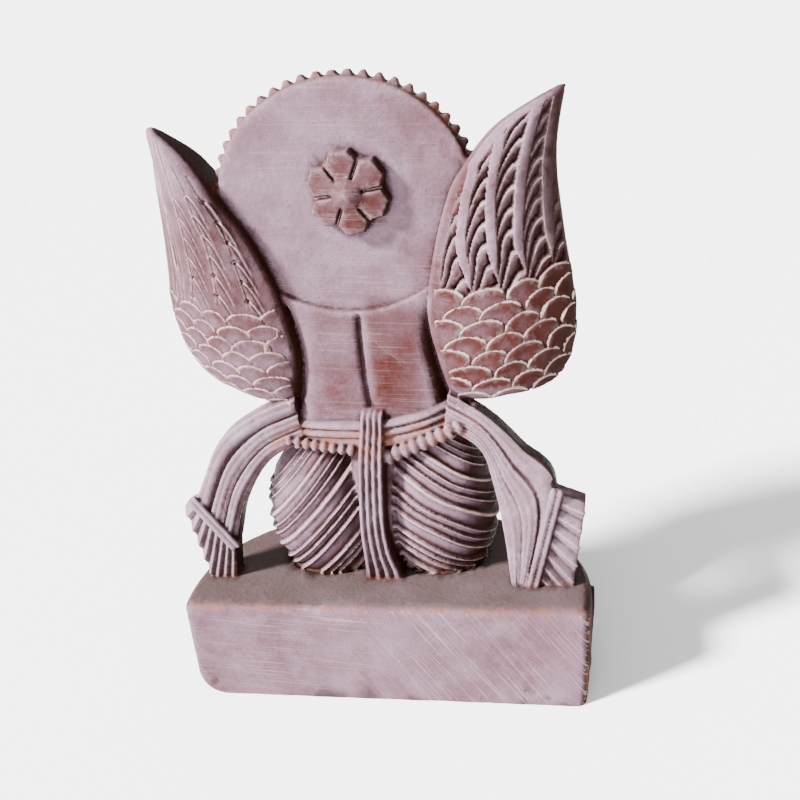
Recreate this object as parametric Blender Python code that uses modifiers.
"""Stone garuda statue: a winged, kneeling figure carved in one with its half-oval plinth.

Metres, +Z up. The origin is the middle of the plinth's underside. The figure faces -Y, its
left side is +X, and the sawn flat back of the plinth is at +Y.
"""
import math

import bmesh
import bpy
import numpy as np
from mathutils import Matrix, Vector

# Driving dimensions
FIGURE_HEIGHT = 0.127      # plinth top to the tips of the studs on the disc
PLINTH_HEIGHT = 0.0286
PLINTH_DEPTH = 0.050
PLINTH_MARGIN = 0.0005     # stone left outside the widest foot of the sashes
BACK_MARGIN = 0.0075       # stone left behind the feet of the sashes
EDGE_WEAR = 0.0012         # rounding of the plinth's top edge
CORNER_WEAR = 0.0052       # rounding of its lower corner on the figure's left
LOTUS_DEPTH = 0.0016       # how far the lotus petals stand out of the plinth
BACK_CORNER = 0.0040       # cut corner between the plinth's sawn back and its curve
SAW_DEPTH = 0.0085         # how far behind its widest place the oval block is sawn off
PETAL_COUNT = 11
PLAN_FULLNESS = 0.90       # 1 gives the plinth a true half-oval, less makes it squarer
GRAIN = 0.0005             # fineness at which the forms run into each other
FACET_SHARE = 0.0195        # share of the fused skin's triangles that the facets keep

# The figure is laid out on a grid of 127 units from the plinth's top to the stud tips
UNIT = FIGURE_HEIGHT / 127.0
SINK = 1.2                 # units that a form reaches into the one that carries it

# Plinth, in figure units: its widest places, and how far back the feet of the sashes stand
WIDEST_LEFT, WIDEST_RIGHT = 51.9, 52.7
SASH_FOOT = 17.5

# Disc behind the head, in figure units
DISC_X, DISC_Z = 1.5, 98.9
DISC_HALF_WIDTH, DISC_HALF_HEIGHT = 30.6, 27.4
DISC_BACK, DISC_FRONT = 3.0, -3.2
STUD_COUNT = 25
STUD_WIDTH, STUD_HEIGHT = 3.5, 1.5
BOSS_X, BOSS_Z = -0.2, 100.9
BOSS_PETALS = 6
BOSS_RADIUS, BOSS_TOP = 8.6, 9.6

# Wing outlines from the lowest point to the tip, as (x, z); the back faces +Y
LEFT_WING_INNER = [(20.2, 47.4), (17.7, 59.9), (18.3, 67.9), (20.0, 77.0), (22.8, 85.5), (26.0, 92.3),
                   (29.9, 98.6), (33.5, 104.9), (38.6, 111.8), (46.0, 117.8)]
LEFT_WING_OUTER = [(25.4, 47.4), (34.4, 49.8), (39.4, 52.2), (43.6, 55.8), (47.0, 61.2), (49.0, 67.6),
                   (49.6, 75.3), (48.8, 85.7), (48.0, 100.5), (48.0, 117.8)]
RIGHT_WING_INNER = [(-21.4, 47.4), (-18.3, 58.9), (-16.9, 65.4), (-16.6, 73.1), (-18.0, 81.6),
                    (-20.4, 90.4), (-23.0, 97.9), (-26.3, 103.8), (-34.8, 113.0), (-48.6, 120.4)]
RIGHT_WING_OUTER = [(-26.0, 47.4), (-40.5, 49.0), (-46.3, 52.4), (-49.8, 58.6), (-51.1, 68.7),
                    (-50.0, 79.8), (-48.6, 90.6), (-47.8, 102.1), (-48.3, 111.0), (-50.2, 120.4)]
WING_WALL = 7.0            # height of the wing's back over the figure's middle plane, at the disc
WING_BULGE = 4.6
WING_FRONT = -7.0
TIP_TAPER = 24.0
FOOT_TAPER = 12.0
SCALE_ROWS = 5
SCALE_PITCH = 5.2
SCALE_WIDTH = 6.8
RIB_PLACES = (0.20, 0.42, 0.64, 0.84)
BARB_COUNT = 6
BARB_REACH = 0.17          # share of the wing's width
BARB_DROP = 6.5

# Drapery over the hips
FOLD_COUNT = 9
FOLD_DEPTH = 0.085         # share of the radius
BEAD_RADIUS = 1.5
PLEAT_FLUTES = 4
SASH_FLUTES = 3
SASH_THICKNESS = 6.5
FAN_PLEATS = 7
FAN_CORNER = 0.62          # share of the fan's free edge that lies above its lower corner

# Edges of the two sashes from the waist down, as (x, z), and the corners of their fan ends:
# top and foot of the band, top of the free edge, its lower corner and its foot by the band
LEFT_SASH_INNER = [(18.2, 37.6), (28.2, 32.8), (35.9, 21.8), (39.6, 10.0)]
LEFT_SASH_OUTER = [(19.6, 49.8), (30.4, 46.2), (40.4, 39.4), (49.0, 23.4)]
LEFT_FAN = [(48.8, 23.4), (39.6, 10.0), (52.4, 21.6), (48.2, -SINK), (41.2, -SINK)]
RIGHT_SASH_INNER = [(-18.2, 41.1), (-27.2, 35.2), (-30.2, 24.0), (-31.8, 13.0), (-33.2, -SINK)]
RIGHT_SASH_OUTER = [(-19.6, 50.2), (-28.4, 45.2), (-37.0, 37.2), (-45.4, 26.4), (-38.4, -SINK)]
RIGHT_FAN = [(-45.4, 26.6), (-38.2, -SINK), (-52.3, 23.6), (-48.4, -SINK), (-38.6, -SINK)]


def clear_scene():
    for item in list(bpy.data.objects):
        bpy.data.objects.remove(item, do_unlink=True)


def make_collection(name):
    group = bpy.data.collections.new(name)
    bpy.context.scene.collection.children.link(group)
    return group


def stone_material():
    material = bpy.data.materials.new("soapstone")
    material.use_nodes = True
    shader = material.node_tree.nodes["Principled BSDF"]
    shader.inputs["Base Color"].default_value = (0.40, 0.28, 0.30, 1.0)
    shader.inputs["Roughness"].default_value = 0.5
    shader.inputs["Metallic"].default_value = 0.0
    return material


def place(x, y, z):
    """A point of the figure, from figure units to metres above the plinth."""
    return Vector((x * UNIT, y * UNIT, z * UNIT + PLINTH_HEIGHT))


def finish_mesh(work, name, group):
    """Turn a bmesh into an object of the group, with its faces pointing out."""
    bmesh.ops.recalc_face_normals(work, faces=work.faces)
    mesh = bpy.data.meshes.new(name)
    work.to_mesh(mesh)
    work.free()
    item = bpy.data.objects.new(name, mesh)
    group.objects.link(item)
    return item


def loft(name, rings, group):
    """A closed solid through rings of equal point counts, each a list of Vectors in metres."""
    work = bmesh.new()
    rows = [[work.verts.new(point) for point in ring] for ring in rings]
    count = len(rings[0])
    for low, high in zip(rows, rows[1:]):
        for i in range(count):
            j = (i + 1) % count
            work.faces.new((low[i], low[j], high[j], high[i]))
    work.faces.new(rows[0])
    work.faces.new(rows[-1])
    bmesh.ops.triangulate(work, faces=[face for face in work.faces if len(face.verts) > 4])
    return finish_mesh(work, name, group)


def ellipsoid(name, centre, radii, group, segments=10, rings=7, turn=None):
    """A ball in figure units, stretched by its radii and turned about its centre."""
    work = bmesh.new()
    bmesh.ops.create_uvsphere(work, u_segments=segments, v_segments=rings, radius=1.0)
    shape = Matrix.Diagonal((radii[0] * UNIT, radii[1] * UNIT, radii[2] * UNIT, 1.0))
    turn = turn or Matrix.Identity(4)
    bmesh.ops.transform(work, matrix=Matrix.Translation(place(*centre)) @ turn @ shape, verts=work.verts)
    return finish_mesh(work, name, group)


def limb(name, stations, group, sides=8):
    """A round limb through stations (x, y, z, radius) in figure units."""
    points = [place(*station[:3]) for station in stations]
    rings = []
    for i, centre in enumerate(points):
        ahead = points[min(i + 1, len(points) - 1)] - points[max(i - 1, 0)]
        frame = ahead.to_track_quat("Z", "Y").to_matrix()
        radius = stations[i][3] * UNIT
        rings.append([centre + frame @ Vector((radius * math.cos(2 * math.pi * k / sides),
                                               radius * math.sin(2 * math.pi * k / sides), 0.0))
                      for k in range(sides)])
    return loft(name, rings, group)


def curve_through(points, per_span=8):
    """A smooth curve through the points (Catmull-Rom), as an array of points."""
    points = np.array(points, float)
    padded = np.vstack([2 * points[0] - points[1], points, 2 * points[-1] - points[-2]])
    out = []
    for i in range(len(points) - 1):
        before, start, end, after = padded[i:i + 4]
        for t in np.arange(per_span) / per_span:
            out.append(0.5 * (2 * start + (end - before) * t
                              + (2 * before - 5 * start + 4 * end - after) * t ** 2
                              + (3 * start - before - 3 * end + after) * t ** 3))
    out.append(points[-1])
    return np.array(out)


def edge_x(outline, z):
    """The x of a wing's edge at a height, both in figure units."""
    curve = curve_through(outline)
    return float(np.interp(z, curve[:, 1], curve[:, 0]))


def oval_point(angle, half_left, half_right, reach):
    """A point of the plinth's squarish oval: across it, and forward of its widest place."""
    half = half_left if math.cos(angle) > 0 else half_right
    across = math.copysign(abs(math.cos(angle)) ** PLAN_FULLNESS, math.cos(angle))
    ahead = math.copysign(abs(math.sin(angle)) ** PLAN_FULLNESS, math.sin(angle))
    return half * across, reach * ahead


def plinth_plan(half_left, half_right, front, back, segments=30):
    """The outline of the plinth at one level, in metres: an oval sawn off behind its widest place."""
    widest = back - SAW_DEPTH
    start = math.asin(((SAW_DEPTH - BACK_CORNER) / (widest - front)) ** (1 / PLAN_FULLNESS))
    points = []
    for k in range(segments + 1):
        angle = -start + (math.pi + 2 * start) * k / segments
        across, ahead = oval_point(angle, half_left, half_right, widest - front)
        points.append((across, widest - ahead))
    left, right = points[0][0], points[-1][0]
    cut = BACK_CORNER * 0.45
    return points + [(right, back - cut), (right + cut, back), (left - cut, back), (left, back - cut)]


def build_plinth(group):
    """Sawn oval block, worn at its edges."""
    half_left = WIDEST_LEFT * UNIT + PLINTH_MARGIN
    half_right = WIDEST_RIGHT * UNIT + PLINTH_MARGIN
    back = SASH_FOOT * UNIT + BACK_MARGIN
    front = back - PLINTH_DEPTH
    levels = [(0.0, CORNER_WEAR, 1.2 * EDGE_WEAR, 0.4 * EDGE_WEAR),
              (CORNER_WEAR * 0.30, CORNER_WEAR * 0.42, 0.8 * EDGE_WEAR, 0.0),
              (CORNER_WEAR, CORNER_WEAR * 0.12, 0.5 * EDGE_WEAR, 0.0), (PLINTH_HEIGHT * 0.5, 0.0, 0.3 * EDGE_WEAR, 0.0),
              (PLINTH_HEIGHT - EDGE_WEAR, 0.0, 0.0, 0.0), (PLINTH_HEIGHT, EDGE_WEAR, EDGE_WEAR, EDGE_WEAR)]
    rings = []
    for height, trim_left, trim_right, trim in levels:
        plan = plinth_plan(half_left - trim_left, half_right - trim_right, front + trim, back - trim)
        rings.append([Vector((x, y, height)) for x, y in plan])
    plinth = loft("garuda_statue", rings, group)
    return plinth, (half_left, half_right, front, back)


def build_lotus(size, cutters):
    """A row of pointed petals round the plinth's curved front."""
    half_left, half_right, front, back = size
    widest = back - SAW_DEPTH
    reach = widest - front
    outline = [(-0.46, 0.10), (-0.50, 0.38), (-0.40, 0.62), (0.0, 0.88), (0.40, 0.62), (0.50, 0.38), (0.46, 0.10)]
    for k in range(PETAL_COUNT):
        angle = math.pi * (k + 0.5) / PETAL_COUNT
        spots = [oval_point(angle + turn, half_left, half_right, reach) for turn in (-0.02, 0.0, 0.02)]
        before, oval, after = (Vector((across, widest - ahead, 0.0)) for across, ahead in spots)
        along = (after - before).normalized()
        normal = Vector((along.y, -along.x, 0.0)) * -1.0
        width = (after - before).length / 0.04 * math.pi / PETAL_COUNT
        work = bmesh.new()
        base = [work.verts.new(oval - normal * LOTUS_DEPTH * 1.5 + along * (u * width)
                               + Vector((0, 0, v * PLINTH_HEIGHT))) for u, v in outline]
        rim = [work.verts.new(oval + normal * LOTUS_DEPTH * 0.35 + along * (u * width * 0.94)
                              + Vector((0, 0, v * PLINTH_HEIGHT))) for u, v in outline]
        ridge = [work.verts.new(oval + normal * LOTUS_DEPTH + Vector((0, 0, v * PLINTH_HEIGHT)))
                 for v in (0.22, 0.60)]
        work.faces.new(base)
        for i in range(len(outline)):
            j = (i + 1) % len(outline)
            work.faces.new((base[i], base[j], rim[j], rim[i]))
        low, high = ridge
        for i, j, top in ((0, 1, low), (1, 2, high), (2, 3, high), (3, 4, high), (4, 5, high), (5, 6, low)):
            work.faces.new((rim[i], rim[j], top))
        work.faces.new((rim[6], rim[0], low))
        work.faces.new((rim[1], high, low))
        work.faces.new((rim[5], low, high))
        bmesh.ops.triangulate(work, faces=work.faces)
        finish_mesh(work, f"lotus_petal_{k + 1}", cutters)


def build_disc(cutters):
    """The plain disc behind the head, with a rim of pyramid studs and a six-petalled boss."""
    count = 36
    rings = []
    for depth, inset in ((DISC_FRONT, 0.0), (DISC_BACK - 0.6, 0.0), (DISC_BACK, 0.6)):
        rings.append([place(DISC_X + (DISC_HALF_WIDTH - inset) * math.cos(2 * math.pi * k / count), depth,
                            DISC_Z + (DISC_HALF_HEIGHT - inset) * math.sin(2 * math.pi * k / count))
                      for k in range(count)])
    loft("disc", rings, cutters)
    for k in range(STUD_COUNT):
        angle = math.radians(9.0 + 162.0 * k / (STUD_COUNT - 1))
        rim = Vector((DISC_HALF_WIDTH * math.cos(angle), 0.0, DISC_HALF_HEIGHT * math.sin(angle)))
        out = Vector((math.cos(angle) / DISC_HALF_WIDTH, 0.0, math.sin(angle) / DISC_HALF_HEIGHT)).normalized()
        along = Vector((-out.z, 0.0, out.x))
        foot = Vector((DISC_X, -0.1, DISC_Z)) + rim - out * 0.9
        half = STUD_WIDTH / 2
        corners = [foot + along * a * half + Vector((0, b * 2.4, 0)) for a, b in ((-1, -1), (1, -1), (1, 1), (-1, 1))]
        tip = foot + out * (0.9 + STUD_HEIGHT)
        work = bmesh.new()
        base = [work.verts.new(place(*corner)) for corner in corners]
        peak = work.verts.new(place(*tip))
        work.faces.new(base)
        for i in range(4):
            work.faces.new((base[i], base[(i + 1) % 4], peak))
        finish_mesh(work, f"stud_{k + 1}", cutters)


def build_boss(cutters):
    """A flower of flat-cut petals round a pointed button, on the back of the disc."""
    ring = [[place(BOSS_X + radius * math.cos(2 * math.pi * k / 18), depth,
                   BOSS_Z + radius * math.sin(2 * math.pi * k / 18)) for k in range(18)]
            for depth, radius in ((DISC_BACK - SINK, 7.4), (BOSS_TOP - 2.6, 6.6))]
    loft("boss_core", ring, cutters)
    for k in range(BOSS_PETALS):
        angle = math.radians(90.0 + 360.0 * (k + 0.05) / BOSS_PETALS)
        out = Vector((math.cos(angle), 0.0, math.sin(angle)))
        side = Vector((-out.z, 0.0, out.x))
        centre = Vector((BOSS_X, 0.0, BOSS_Z))
        plan = [(2.2, 0.0), (5.6, -3.5), (BOSS_RADIUS, -1.2), (BOSS_RADIUS, 1.2), (5.6, 3.5)]
        low = [centre + out * r * 0.9 + side * s * 0.9 + Vector((0, DISC_BACK - SINK, 0)) for r, s in plan]
        high = [centre + out * r + side * s + Vector((0, BOSS_TOP - 2.0 - 0.12 * r, 0)) for r, s in plan]
        top = [centre + out * r * 0.82 + side * s * 0.62 + Vector((0, BOSS_TOP - 0.35 * abs(r - 4.6), 0))
               for r, s in plan]
        loft(f"boss_petal_{k + 1}", [[place(*p) for p in row] for row in (low, high, top)], cutters)
    button = [[place(BOSS_X + radius * math.cos(2 * math.pi * k / 7), depth,
                     BOSS_Z + radius * math.sin(2 * math.pi * k / 7)) for k in range(7)]
              for depth, radius in ((BOSS_TOP - 4.0, 3.0), (BOSS_TOP, 3.0), (BOSS_TOP + 1.6, 0.5))]
    loft("boss_button", button, cutters)


class Wing:
    """One wing: its outline, the height of its back and the frame that its feathers use."""

    def __init__(self, name, inner, outer, scale_top):
        self.name = name
        self.inner = inner
        self.outer = outer
        self.low = inner[0][1]
        self.tip = inner[-1][1]
        self.scale_top = scale_top

    def x(self, u, z):
        """The place at share u from the inner edge, at a height."""
        return edge_x(self.inner, z) * (1 - u) + edge_x(self.outer, z) * u

    def fullness(self, z):
        """How thick the wing is at a height: thin at the tip and the lower edge, 1 between."""
        to_tip = min(1.0, max(0.0, self.tip - z) / TIP_TAPER) ** 0.7
        to_low = min(1.0, max(0.0, z - self.low) / FOOT_TAPER) ** 0.5
        return 0.08 + 0.92 * to_tip * (0.25 + 0.75 * to_low)

    def back(self, u, z):
        """The height of the wing's back over the middle plane."""
        full = self.fullness(z)
        wall = 1.0 + (WING_WALL - 1.0) * full
        chamfer = 1.6 * max(0.0, 1 - u / 0.07)
        return wall * (1 - u) + 0.8 * u + WING_BULGE * full * (1 - (2 * u - 1) ** 2) - chamfer

    def front(self, u, z):
        full = self.fullness(z)
        return (WING_FRONT + 1.5) * full * (1 - u) - 2.0 * u + WING_FRONT * 0.35 * full * (1 - (2 * u - 1) ** 2)

    def body(self, cutters):
        shares = (0.0, 0.07, 0.24, 0.42, 0.60, 0.80, 1.0)
        heights = np.concatenate([self.low + np.array([0.0, 2.0, 5.0, 11.0]),
                                  np.linspace(self.low + 20.0, self.tip, 7)])
        rings = []
        for z in heights:
            ring = [place(self.x(u, z), self.back(u, z), z) for u in shares]
            ring += [place(self.x(u, z), self.front(u, z), z) for u in (1.0, 0.66, 0.33)]
            root = 5.0 * max(0.0, 1 - (z - self.low) / 30.0)
            root = math.copysign(root, self.inner[0][0])
            ring += [place(self.x(0.0, z) - root, self.front(0.0, z), z)]
            rings.append(ring)
        loft(f"{self.name}_wing", rings, cutters)

    def strip(self, name, path, width, height, cutters):
        """A raised stroke: a ridge on the wing's back through points (u, z), thinning to its end."""
        rings = []
        for i, (u, z) in enumerate(path):
            ahead = path[min(i + 1, len(path) - 1)]
            behind = path[max(i - 1, 0)]
            run = Vector((self.x(*ahead) - self.x(*behind), 0.0, ahead[1] - behind[1])).normalized()
            across = Vector((-run.z, 0.0, run.x))
            share = 1.0 - 0.75 * i / (len(path) - 1)
            centre = Vector((self.x(u, z), self.back(u, z), z))
            corners = [centre - across * width * share + Vector((0, -0.6, 0)),
                       centre + across * width * share + Vector((0, -0.6, 0)),
                       centre + Vector((0, height * share, 0))]
            rings.append([place(*corner) for corner in corners])
        loft(name, rings, cutters)

    def scales(self, cutters):
        """Rows of round-tipped scale feathers, each row standing proud of the one above."""
        number = 0
        for row in range(SCALE_ROWS):
            z = self.scale_top - SCALE_PITCH * (row + 0.6)
            span = abs(edge_x(self.outer, z) - edge_x(self.inner, z)) * 0.93
            count = max(3, round(span / SCALE_WIDTH))
            for k in range(count):
                u = 0.07 + 0.90 * (k + (0.25 if row % 2 else 0.75)) / (count + 0.5)
                number += 1
                self.scale(f"{self.name}_scale_{number}", u, z, span / count * 0.56, cutters)

    def scale(self, name, u, z, half, cutters):
        """One scale feather: a thin plate that rises from its sunk root to its round tip."""
        plan = [(-0.9, -1.0), (0.9, -1.0), (0.85, 0.6), (0.0, 1.35), (-0.85, 0.6)]
        low, high = [], []
        span = edge_x(self.outer, z) - edge_x(self.inner, z)
        for a, b in plan:
            level = min(max(z + b * SCALE_PITCH * 0.62, self.low + 0.4), self.tip)
            share = min(max(u + a * half / abs(span), 0.03), 0.985)
            x, surface = self.x(share, level), self.back(share, level)
            lift = 0.75 * (b + 1.0) / 2.35 - 0.15
            low.append(place(x, surface - 1.5, level))
            high.append(place(x, surface + lift, level))
        loft(name, [low, high], cutters)

    def flight_feathers(self, cutters):
        """Long ribs that run up to the tip, each with barbs that slant down towards the disc."""
        top = self.tip - 5.0
        for k, u in enumerate(RIB_PLACES):
            rib = [(u, z) for z in np.linspace(self.scale_top - 2.0, top, 4)]
            self.strip(f"{self.name}_rib_{k + 1}", rib, 0.9, 0.55, cutters)
            for j in range(BARB_COUNT):
                z = self.scale_top + 6.0 + (top - self.scale_top - 10.0) * j / BARB_COUNT
                path = [(u, z), (u - BARB_REACH, z - BARB_DROP)]
                self.strip(f"{self.name}_barb_{k + 1}_{j + 1}", path, 0.85, 0.8, cutters)

    def build(self, cutters):
        self.body(cutters)
        self.scales(cutters)
        self.flight_feathers(cutters)


def build_torso(cutters):
    """Waist to neck: two flat panels of the back with a groove between, and a rounded chest."""
    levels = [(36.0, 22.5, 19.5, 6.0, -11.0), (41.0, 21.8, 19.3, 6.0, -11.5), (48.6, 18.6, 18.4, 5.6, -11.5),
              (55.4, 17.4, 17.4, 5.2, -12.5), (62.5, 16.2, 16.0, 5.0, -14.0), (69.0, 15.6, 15.0, 4.7, -14.5),
              (74.5, 15.6, 15.9, 4.3, -13.5), (80.0, 17.0, 17.5, 2.0, -10.0)]
    shares = (-1.0, -0.97, -0.80, -0.45, -0.09, 0.0, 0.09, 0.45, 0.80, 0.97, 1.0)
    rings = []
    for z, left, right, back, front in levels:
        groove_x = 0.9 - 1.4 * (67.0 - z) / 26.0
        groove = 1.9 if z < 75.0 else 0.2
        ring = []
        for share in shares:
            half = left if share > 0 else right
            x = groove_x * (1 - abs(share)) + share * half
            y = back - 0.8 * share ** 2 - (groove if share == 0 else 0.0)
            y -= 1.2 if abs(share) == 0.97 else 3.5 if abs(share) == 1.0 else 0.0
            ring.append(place(x, y, z))
        for share in (0.96, 0.75, 0.40, 0.0, -0.40, -0.75, -0.96):
            half = left if share > 0 else right
            ring.append(place(share * half, front * (1 - 0.45 * share ** 4), z))
        rings.append(ring)
    loft("torso", rings, cutters)


def fold_lobe(name, centre, radii, pole, cutters):
    """One side of the draped hips: a ball with ridged folds nested round a pole."""
    turn = Vector(pole).to_track_quat("Z", "Y").to_matrix()
    rows, columns = 2 * FOLD_COUNT + 2, 14
    work = bmesh.new()
    grid = []
    for i in range(1, rows):
        angle = math.pi * i / rows
        swell = 1.0 + (FOLD_DEPTH / 2 if i % 2 else -FOLD_DEPTH / 2)
        row = []
        for j in range(columns):
            spin = 2 * math.pi * j / columns
            point = turn @ Vector((math.sin(angle) * math.cos(spin), math.sin(angle) * math.sin(spin),
                                   math.cos(angle))) * swell
            row.append(work.verts.new(place(*(centre[n] + radii[n] * point[n] for n in range(3)))))
        grid.append(row)
    for low, high in zip(grid, grid[1:]):
        for j in range(columns):
            work.faces.new((low[j], low[(j + 1) % columns], high[(j + 1) % columns], high[j]))
    for row, end in ((grid[0], 1.0), (grid[-1], -1.0)):
        point = turn @ Vector((0.0, 0.0, end))
        peak = work.verts.new(place(*(centre[n] + radii[n] * point[n] for n in range(3))))
        for j in range(columns):
            work.faces.new((row[j], row[(j + 1) % columns], peak))
    finish_mesh(work, name, cutters)


def belt_rise(x):
    """The belt climbs towards the figure's right hip."""
    return 4.2 * (max(0.0, -x) / 20.0) ** 1.4


def build_hips(cutters):
    """Folded cloth over the hips, a belt with three lines, a girdle of beads and a hanging pleat."""
    fold_lobe("left_hip", (16.2, -1.5, 15.0), (16.4, 14.0, 22.0), (0.75, 0.35, 0.75), cutters)
    fold_lobe("right_hip", (-13.8, -1.5, 16.5), (15.6, 14.0, 23.0), (-0.45, 0.25, 0.95), cutters)
    ellipsoid("lap", (0.0, -4.0, 16.0), (24.0, 10.5, 20.0), cutters, 10, 6)
    ellipsoid("seat", (0.5, -1.0, 18.0), (11.0, 11.5, 24.0), cutters, 10, 8)
    rings = []
    for z, swell in ((36.6, -0.6), (37.6, 0.9), (38.6, 0.9), (39.2, 0.2), (39.9, 0.9), (40.9, 0.9),
                     (41.5, 0.2), (42.4, 0.8), (43.0, -0.8)):
        ring = []
        for k in range(16):
            angle = 2 * math.pi * k / 16
            x = 1.0 + (21.3 + swell) * math.copysign(abs(math.cos(angle)) ** 0.75, math.cos(angle))
            y = -2.6 + (10.2 + swell) * math.copysign(abs(math.sin(angle)) ** 0.55, math.sin(angle))
            ring.append(place(x, y, z + belt_rise(x)))
        rings.append(ring)
    loft("belt", rings, cutters)
    beads = [(22.0 - 2.35 * k, 38.6 - 0.28 * k) for k in range(8)]
    beads += [(-3.9 - 2.25 * k, 34.5 + 0.88 * k) for k in range(9)]
    for k, (x, z) in enumerate(beads):
        depth = 8.7 - 0.006 * (abs(x) - 4.0) ** 2
        work = bmesh.new()
        bmesh.ops.create_uvsphere(work, u_segments=6, v_segments=2, radius=BEAD_RADIUS * UNIT)
        stretch = Matrix.Diagonal((0.9, 1.0, 1.25 + 0.25 * (x < -12), 1.0))
        bmesh.ops.transform(work, matrix=Matrix.Translation(place(x, depth, z)) @ stretch, verts=work.verts)
        finish_mesh(work, f"bead_{k + 1}", cutters)
    build_pleat(cutters)


def build_pleat(cutters):
    """The pleated end of the cloth that hangs down between the hips."""
    stations = [(46.0, -0.4, 3.0, 8.6), (41.0, -0.2, 3.1, 10.4), (33.0, 0.5, 3.3, 12.2), (18.0, 1.4, 3.5, 13.4),
                (8.0, 1.2, 3.9, 12.8), (2.0, 0.6, 4.9, 11.8), (-SINK, 0.6, 5.2, 11.6)]
    rings = []
    for z, centre, half, back in stations:
        ring = []
        for k in range(2 * PLEAT_FLUTES + 1):
            share = -1.0 + k / PLEAT_FLUTES
            ring.append(place(centre + share * half, back - (0.0 if k % 2 else 1.0), z))
        ring += [place(centre + half, back - 8.0, z), place(centre - half, back - 8.0, z)]
        rings.append(ring)
    loft("pleat", rings, cutters)


def build_sash(side, inner, outer, depths, fan, cutters):
    """A sash that arches from the waist down to the band above its pleated fan end."""
    count = 9
    spots = np.linspace(0, (len(inner) - 1) * 8, count).astype(int)
    inner, outer = curve_through(inner)[spots], curve_through(outer)[spots]
    rings = []
    for i in range(count):
        back = depths[0] + (depths[1] - depths[0]) * i / (count - 1)
        ring = []
        for k in range(2 * SASH_FLUTES + 1):
            share = k / (2 * SASH_FLUTES)
            x, z = inner[i] * (1 - share) + outer[i] * share
            ring.append(place(x, back - (0.0 if k % 2 else 1.1) - 1.2 * (2 * share - 1) ** 4, z))
        for share in (1.0, 0.5, 0.0):
            x, z = inner[i] * (1 - share) + outer[i] * share
            ring.append(place(x, back - SASH_THICKNESS, z))
        rings.append(ring)
    loft(f"{side}_sash", rings, cutters)
    build_fan(side, fan, depths[1], cutters)


def build_fan(side, fan, back, cutters):
    """The flared end beyond the band, gathered in fine pleats, and the double band itself."""
    band_top, band_foot, edge_top, corner, edge_foot = (np.array(point) for point in fan)
    rings = []
    for k in range(2 * FAN_PLEATS + 1):
        share = k / (2 * FAN_PLEATS)
        near = band_top * (1 - share) + band_foot * share
        if share < FAN_CORNER:
            far = edge_top + (corner - edge_top) * share / FAN_CORNER
        else:
            far = corner + (edge_foot - corner) * (share - FAN_CORNER) / (1 - FAN_CORNER)
        surface = back - (0.0 if k % 2 else 1.0)
        rings.append([place(near[0], surface - 0.4, near[1]), place(far[0], surface - 0.8, far[1]),
                      place(far[0], back - SASH_THICKNESS, far[1]), place(near[0], back - SASH_THICKNESS, near[1])])
    loft(f"{side}_sash_fan", rings, cutters)
    run = (band_foot - band_top) / np.linalg.norm(band_foot - band_top)
    across = np.array([-run[1], run[0]])
    for number, offset in enumerate((-0.8, 0.8)):
        start = band_top - run * 0.8 + across * offset
        end = band_foot + across * offset
        limb(f"{side}_sash_band_{number + 1}", [(start[0], back - 0.2, start[1], 0.9),
                                                (end[0], back - 0.2, end[1], 0.9)], cutters, 6)


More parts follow.
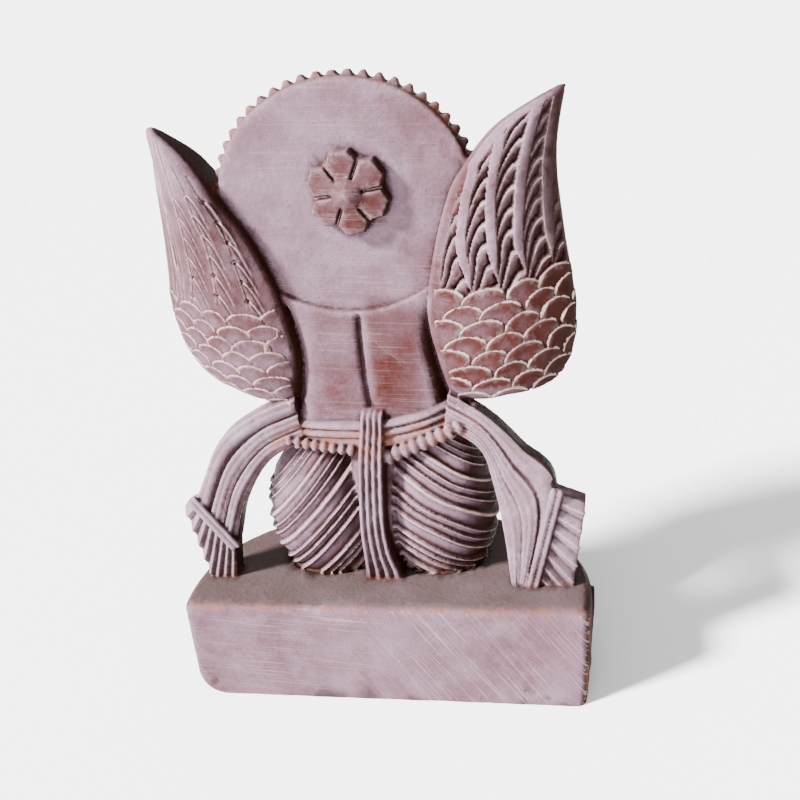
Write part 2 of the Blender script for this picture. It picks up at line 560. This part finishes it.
def build_front(cutters):
    """The front of the kneeling figure: folded hands, one knee raised, crowned head with a beak nose."""
    for side in (1, -1):
        ellipsoid("shoulder", (19.0 * side, -5.0, 72.0), (8.0, 7.5, 8.0), cutters, 8, 5)
        limb("upper_arm", [(20.5 * side, -6.0, 74.0, 5.6), (23.0 * side, -8.0, 62.0, 4.8),
                           (22.5 * side, -10.0, 52.0, 4.4)], cutters)
        limb("forearm", [(23.5 * side, -9.5, 51.0, 4.5), (14.0 * side, -17.0, 56.0, 3.8),
                         (3.6 * side, -20.3, 63.0, 2.7)], cutters)
        ellipsoid("hand", (1.7 * side, -20.6, 69.5), (2.0, 3.0, 7.6), cutters, 6, 5,
                  Matrix.Rotation(math.radians(-6.0 * side), 4, "Y"))
        limb("armlet", [(22.4 * side, -7.5, 65.8, 5.9), (22.8 * side, -7.9, 63.4, 5.9)], cutters, 10)
        ellipsoid("ear", (9.2 * side, -7.5, 94.5), (1.6, 2.4, 4.2), cutters, 6, 4)
        limb("earring", [(9.0 * side, -8.0, 87.5, 3.4), (11.4 * side, -8.6, 87.3, 3.0)], cutters, 8)
        ellipsoid("eye", (3.7 * side, -16.0, 96.6), (2.3, 1.3, 1.2), cutters, 6, 4)
        limb("brow", [(1.3 * side, -16.3, 98.6, 0.7), (3.9 * side, -15.6, 99.6, 0.9),
                      (6.6 * side, -13.6, 98.6, 0.6)], cutters, 5)
    limb("neck", [(0.0, -4.5, 76.0, 7.5), (0.0, -5.5, 84.0, 6.0), (0.0, -6.5, 90.0, 6.2)], cutters)
    ellipsoid("head", (0.0, -7.6, 95.0), (9.2, 9.6, 11.4), cutters, 12, 8)
    limb("beak_nose", [(0.0, -15.4, 98.6, 1.2), (0.0, -17.0, 95.0, 1.9), (0.0, -18.4, 91.6, 1.5),
                       (0.0, -18.9, 89.9, 0.5)], cutters, 6)
    ellipsoid("lips", (0.0, -15.8, 88.6), (2.9, 1.4, 1.0), cutters, 6, 4)
    ellipsoid("chin", (0.0, -14.2, 85.6), (3.0, 2.2, 1.9), cutters, 6, 4)
    crown = [(100.0, 9.6, 9.8), (101.0, 10.6, 10.8), (104.0, 10.6, 10.8), (104.8, 9.2, 9.4), (110.0, 8.4, 8.6),
             (110.6, 9.0, 9.2), (112.4, 9.0, 9.2), (113.0, 7.4, 7.6), (117.0, 5.2, 5.4), (119.4, 2.6, 2.6),
             (121.0, 3.2, 3.2), (122.6, 1.0, 1.0)]
    rings = [[place(across * math.cos(2 * math.pi * k / 12), -6.0 + 0.9 * deep * math.sin(2 * math.pi * k / 12), z)
              for k in range(12)] for z, across, deep in crown]
    loft("crown", rings, cutters)
    for radius, drop, thick in ((9.5, 4.5, 1.1), (13.0, 9.5, 1.4)):
        path = [(radius * math.sin(a), -11.2 - 2.6 * math.cos(a), 79.0 - drop * math.cos(a), thick)
                for a in np.radians(np.linspace(-78, 78, 7))]
        limb("necklace", path, cutters, 4)
    build_legs(cutters)


def build_legs(cutters):
    """Left knee down, right knee raised with its foot on the plinth, and the cloth's end between."""
    limb("left_thigh", [(13.0, -1.0, 15.0, 12.0), (16.0, -9.0, 11.5, 10.0), (16.5, -14.5, 9.0, 7.6),
                        (16.5, -17.5, 8.2, 4.0)], cutters, 10)
    limb("left_shin", [(17.0, -13.5, 5.5, 6.0), (20.0, -4.0, 4.5, 5.4), (19.0, 3.0, 4.5, 4.5)], cutters)
    limb("right_thigh", [(-12.0, -2.0, 16.0, 11.5), (-14.5, -9.5, 25.0, 9.5), (-15.5, -13.3, 33.0, 7.4),
                         (-15.8, -14.0, 36.6, 4.6)], cutters, 10)
    limb("right_shin", [(-15.4, -14.4, 35.6, 5.9), (-15.0, -15.5, 18.0, 5.6), (-15.0, -14.5, 5.0, 4.3),
                        (-15.0, -14.5, -SINK, 4.3)], cutters)
    ellipsoid("right_foot", (-15.0, -16.0, 1.6), (4.2, 7.0, 3.0), cutters, 10, 6)
    limb("anklet", [(-15.0, -14.7, 8.2, 5.5), (-15.0, -14.6, 6.0, 5.5)], cutters, 10)
    rings = []
    for z, half, front in ((33.0, 3.0, -12.0), (24.0, 3.4, -15.5), (10.0, 4.2, -18.5), (-SINK, 5.6, -20.0)):
        ring = []
        for k in range(7):
            share = -1.0 + k / 3.0
            ring.append(place(0.8 + share * half, front + (0.0 if k % 2 else 1.0), z))
        ring += [place(0.8 + half, front + 8.0, z), place(0.8 - half, front + 8.0, z)]
        rings.append(ring)
    loft("front_pleat", rings, cutters)


def carve_in_one(statue, forms):
    """Join the overlapping forms into the plinth's mesh and fuse them into a single skin."""
    work = bmesh.new()
    work.from_mesh(statue.data)
    for form in list(forms.objects):
        work.from_mesh(form.data)
        bpy.data.objects.remove(form, do_unlink=True)
    work.to_mesh(statue.data)
    work.free()
    fuse = statue.modifiers.new("carved_in_one", "REMESH")
    fuse.mode = "VOXEL"
    fuse.voxel_size = GRAIN
    facets = statue.modifiers.new("cut_facets", "DECIMATE")
    facets.ratio = FACET_SHARE


def build_statue():
    clear_scene()
    statue_group = make_collection("stone_garuda_statue")
    forms = make_collection("carved_forms")
    plinth, size = build_plinth(statue_group)
    plinth.data.materials.append(stone_material())
    build_lotus(size, forms)
    build_disc(forms)
    build_boss(forms)
    Wing("left", LEFT_WING_INNER, LEFT_WING_OUTER, 75.0).build(forms)
    Wing("right", RIGHT_WING_INNER, RIGHT_WING_OUTER, 77.0).build(forms)
    build_torso(forms)
    build_hips(forms)
    build_sash("left", LEFT_SASH_INNER, LEFT_SASH_OUTER, (7.0, 12.6), LEFT_FAN, forms)
    build_sash("right", RIGHT_SASH_INNER, RIGHT_SASH_OUTER, (7.0, 14.5), RIGHT_FAN, forms)
    build_front(forms)
    carve_in_one(plinth, forms)


build_statue()
